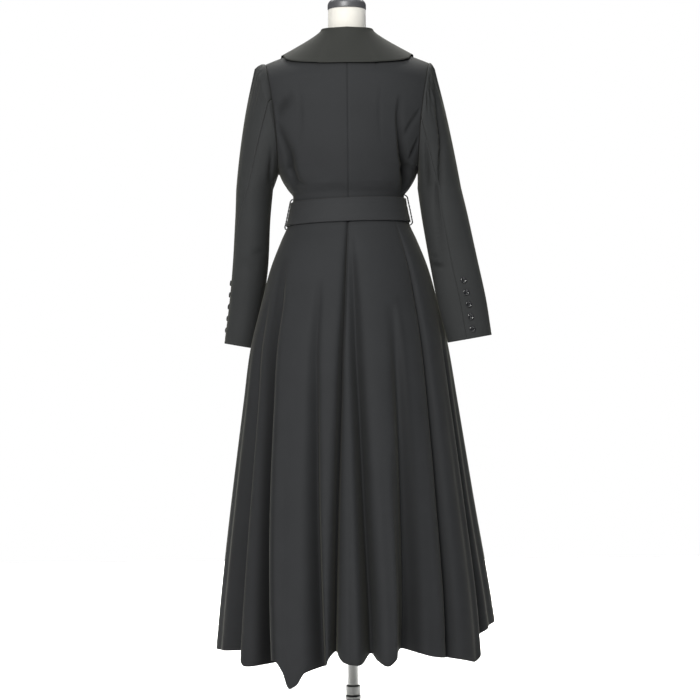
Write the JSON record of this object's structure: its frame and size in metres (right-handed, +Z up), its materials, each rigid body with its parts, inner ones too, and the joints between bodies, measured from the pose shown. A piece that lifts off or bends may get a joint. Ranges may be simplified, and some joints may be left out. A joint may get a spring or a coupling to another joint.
{
  "type": "belted long coat on a dress form",
  "caption": "Long flared coat with a roll collar, tied belt and pleated skirt, worn by a limbless dress form on a pole stand with a round base.",
  "frame": {"origin": "on the floor under the pole, at the centre of the base's underside", "axes": "+Z up along the pole; the coat's back faces -Y and its front +Y, so the wearer's right side is +X"},
  "size_m": [0.5909, 0.5107, 1.5613],
  "materials": {
    "suiting": "charcoal-black wool suiting with a slight sheen",
    "button": "black, polished rim",
    "form_cover": "cream jersey cover, matt",
    "steel": "satin grey",
    "dark_steel": "dark grey, satin"
  },
  "bodies": {
    "root": {"bodice_back_left": "suiting", "bodice_back_right": "suiting", "bodice_front_left": "suiting", "bodice_front_right": "suiting", "skirt_front_left": "suiting", "skirt_back_left": "suiting", "skirt_back_right": "suiting", "skirt_front_right": "suiting", "sleeve_upper_left": "suiting", "sleeve_upper_right": "suiting", "sleeve_under_left": "suiting", "sleeve_under_right": "suiting", "collar": "suiting", "belt": "suiting", "belt_tail_over": "suiting", "belt_tail_under": "suiting", "belt_knot": "suiting", "belt_loop_left": "suiting", "belt_loop_right": "suiting", "button_left_1": "button", "button_left_2": "button", "button_left_3": "button", "button_left_4": "button", "button_left_5": "button", "button_right_1": "button", "button_right_2": "button", "button_right_3": "button", "button_right_4": "button", "button_right_5": "button", "form_torso": "form_cover", "form_neck_cap": "dark_steel", "stand_base": "dark_steel", "stand_socket": "steel", "stand_ring": "steel", "stand_pole": "steel"}
  },
  "joints": []
}
